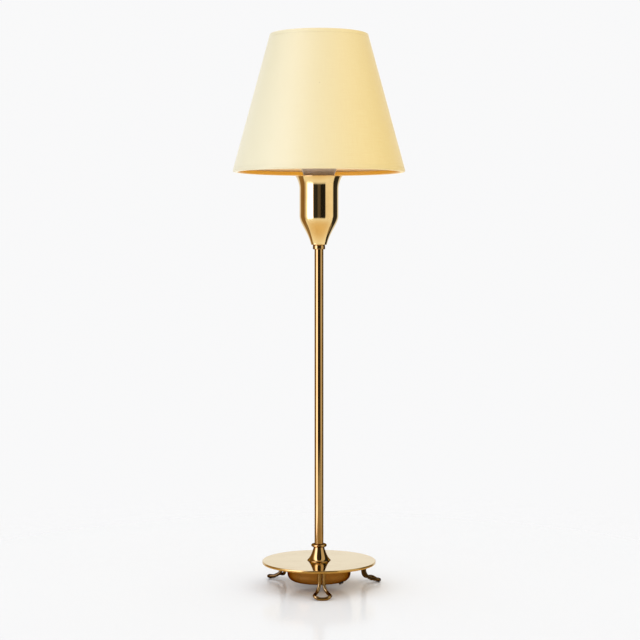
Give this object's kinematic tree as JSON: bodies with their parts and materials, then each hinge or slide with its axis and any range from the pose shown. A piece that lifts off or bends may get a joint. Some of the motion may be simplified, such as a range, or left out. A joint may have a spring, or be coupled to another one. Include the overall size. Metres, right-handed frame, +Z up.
{
  "type": "table lamp",
  "caption": "Slim brass table lamp on bent-wire feet, with a weighted disc base, tube stem, flared lampholder cup and a cone shade that clips on the bulb and tilts.",
  "frame": {"origin": "on the table, under the axis of the stem", "axes": "+Z up along the stem, -Y towards the front foot, +X to the right seen from the front"},
  "size_m": [0.155, 0.155, 0.4965],
  "materials": {
    "polished_brass": "polished, lacquered",
    "foot_brass": "drawn wire, polished",
    "pan_brass": "spun, dull gold",
    "cast_iron": "rough cast",
    "zinc_steel": "zinc plated",
    "spring_steel": "plated wire",
    "nickel_cap": "plated sheet",
    "contact_brass": "plain",
    "black_rubber": "matt",
    "black_moulding": "moulded, satin",
    "white_ceramic": "unglazed",
    "brown_insulation": "smooth",
    "blue_insulation": "smooth",
    "grey_plastic": "moulded, satin",
    "white_board": "satin",
    "opal_plastic": "opal satin",
    "cream_cloth": "fine cloth on a stiff backing",
    "hem_cloth": "folded cloth edge",
    "ochre_lining": "smooth sheet"
  },
  "bodies": {
    "root": {"base_plate": "polished_brass", "foot_front": "foot_brass", "foot_left": "foot_brass", "foot_right": "foot_brass", "weight_pan": "pan_brass", "ballast": "cast_iron", "pan_washer": "zinc_steel", "pan_nut": "zinc_steel", "inlet_bushing": "black_rubber", "knop": "polished_brass", "stem": "polished_brass", "collar": "polished_brass", "socket_cup": "polished_brass", "cup_nut": "zinc_steel", "lampholder_cap": "black_moulding", "lampholder_body": "black_moulding", "contact_block": "white_ceramic", "screw_shell": "contact_brass", "centre_contact": "contact_brass", "terminal_screw_live": "contact_brass", "terminal_screw_neutral": "contact_brass", "lead_live": "brown_insulation", "lead_neutral": "blue_insulation"},
    "bulb_foot": {"bulb_foot_contact": "contact_brass", "bulb_insulator": "black_moulding"},
    "bulb": {"bulb_cap": "nickel_cap", "bulb_housing": "grey_plastic", "led_board": "white_board", "bulb_globe": "opal_plastic"},
    "clip": {"clip_jaw_front": "spring_steel", "clip_jaw_back": "spring_steel"},
    "shade": {"shade_cover": "cream_cloth", "shade_lining": "ochre_lining", "top_ring": "spring_steel", "bottom_ring": "spring_steel", "top_hem": "hem_cloth", "bottom_hem": "hem_cloth", "carrier_wire": "spring_steel"}
  },
  "joints": [
    {"name": "bulb_rise", "type": "slide", "parent": "root", "child": "bulb_foot", "axis": [0, 0, 1], "range_m": [0, 0.0113]},
    {"name": "bulb_turn", "type": "hinge", "parent": "bulb_foot", "child": "bulb", "pos_m": [0, 0, 0.36], "axis": [0, 0, 1], "range_deg": [0, 1440]},
    {"name": "shade_lift", "type": "slide", "parent": "bulb", "child": "clip", "axis": [0, 0, 1], "range_m": [0, 0.05]},
    {"name": "shade_tilt", "type": "hinge", "parent": "clip", "child": "shade", "pos_m": [0, 0, 0.432], "axis": [1, 0, 0], "range_deg": [-15, 15]}
  ],
  "couplings": [
    {"joint": "bulb_rise", "follows": "bulb_turn", "m_per_rad": 0.00044882}
  ]
}
